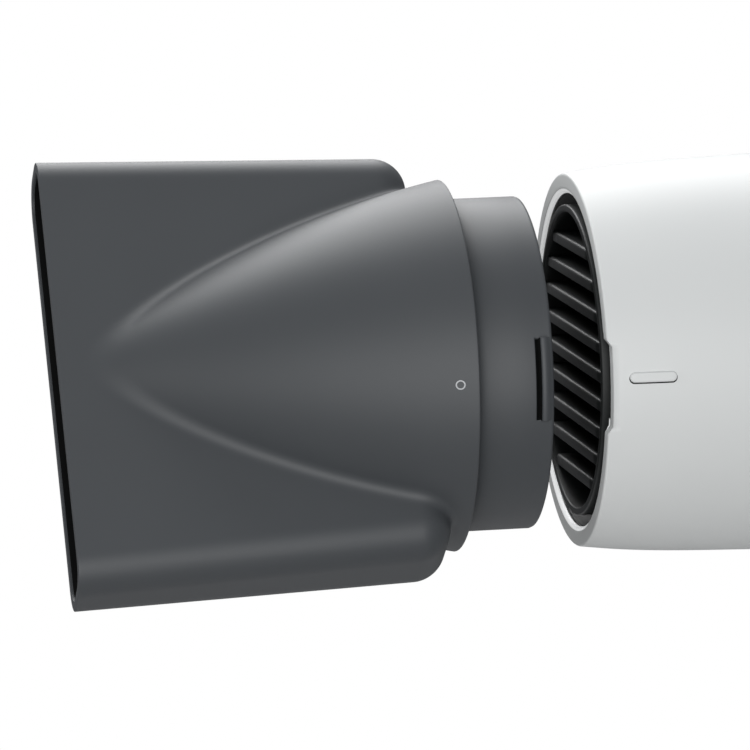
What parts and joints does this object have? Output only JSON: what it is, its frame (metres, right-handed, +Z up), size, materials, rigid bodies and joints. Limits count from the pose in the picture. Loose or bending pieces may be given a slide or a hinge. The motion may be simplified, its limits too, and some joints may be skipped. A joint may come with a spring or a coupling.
{
  "type": "hair dryer",
  "caption": "Hand-held hair dryer with a slatted air outlet, a straight handle with slide switches, and a detachable flat concentrator nozzle that turns.",
  "frame": {"origin": "on the barrel axis, at the mouth of the outlet spigot that the nozzle slides over", "axes": "+X along the barrel from the air outlet to the air intake, +Z up with the handle pointing down -Z, +Y completing a right-handed frame"},
  "size_m": [0.2863, 0.0792, 0.2271],
  "materials": {
    "white_abs": "polished white ABS",
    "grey_abs": "satin dark grey ABS",
    "dark_nylon": "satin glass-filled nylon",
    "light_grey_abs": "satin light grey ABS",
    "black_rubber": "matt moulded rubber",
    "zinc_steel": "zinc-plated steel",
    "bearing_bronze": "sintered bronze",
    "mica": "pressed mica sheet",
    "resistance_wire": "drawn resistance wire",
    "ferrite": "sintered ferrite",
    "motor_steel": "stacked laminations",
    "carbon": "pressed carbon",
    "fuse_metal": "drawn metal can",
    "wire_sheath": "fibre sleeving",
    "circuit_board": "laminate board",
    "filter_steel": "woven wire"
  },
  "bodies": {
    "housing": {"barrel_shell": "white_abs", "outlet_liner": "dark_nylon", "outlet_grille": "dark_nylon", "mica_tube": "mica", "mica_board_upright": "mica", "mica_board_flat": "mica", "heater_coil": "resistance_wire", "thermostat": "fuse_metal", "thermal_fuse": "fuse_metal", "heater_leads": "wire_sheath", "fan_housing": "dark_nylon", "motor_can": "zinc_steel", "motor_end_cap": "dark_nylon", "motor_magnets": "ferrite", "motor_brushes": "carbon", "motor_dampers": "black_rubber", "rectifier_board": "circuit_board", "motor_leads": "wire_sheath", "front_bearing": "bearing_bronze", "rear_bearing": "bearing_bronze", "rear_frame": "grey_abs", "rear_frame_screws": "zinc_steel", "intake_guard": "dark_nylon", "handle_front_shell": "white_abs", "handle_rear_shell": "white_abs", "handle_screws": "zinc_steel", "handle_base": "grey_abs", "cord_gland": "black_rubber", "switch_panel": "grey_abs", "speed_switch": "dark_nylon", "heat_switch": "dark_nylon", "cool_shot_switch": "dark_nylon", "cool_shot_spring": "zinc_steel", "switch_board": "circuit_board"},
    "nozzle_collar": {"nozzle_collar": "grey_abs"},
    "nozzle_shell": {"nozzle_shell": "grey_abs"},
    "filter": {"filter_cap": "grey_abs", "filter_mesh": "filter_steel"},
    "speed_slider": {"speed_slider": "light_grey_abs"},
    "heat_slider": {"heat_slider": "light_grey_abs"},
    "cool_shot": {"cool_shot_button": "light_grey_abs"},
    "fan": {"fan_rotor": "dark_nylon", "motor_shaft": "zinc_steel", "motor_armature": "motor_steel", "motor_commutator": "bearing_bronze"}
  },
  "joints": [
    {"name": "nozzle_slide", "type": "slide", "parent": "housing", "child": "nozzle_collar", "axis": [1, 0, 0], "range_m": [-0.08, 0.0205]},
    {"name": "nozzle_turn", "type": "hinge", "parent": "nozzle_collar", "child": "nozzle_shell", "pos_m": [-0.0231, 0, 0], "axis": [1, 0, 0], "continuous": true},
    {"name": "filter_pull", "type": "slide", "parent": "housing", "child": "filter", "axis": [1, 0, 0], "range_m": [0, 0.04]},
    {"name": "speed_slide", "type": "slide", "parent": "housing", "child": "speed_slider", "axis": [0, 0, 1], "range_m": [0, 0.01]},
    {"name": "heat_slide", "type": "slide", "parent": "housing", "child": "heat_slider", "axis": [0, 0, 1], "range_m": [0, 0.01]},
    {"name": "cool_shot_press", "type": "slide", "parent": "housing", "child": "cool_shot", "axis": [1, 0, 0], "range_m": [0, 0.0025], "stiffness_N_per_m": 300, "springref_m": -0.001, "deforming": ["cool_shot_spring"]},
    {"name": "fan_spin", "type": "hinge", "parent": "housing", "child": "fan", "pos_m": [0.135, 0, 0], "axis": [1, 0, 0], "continuous": true}
  ]
}
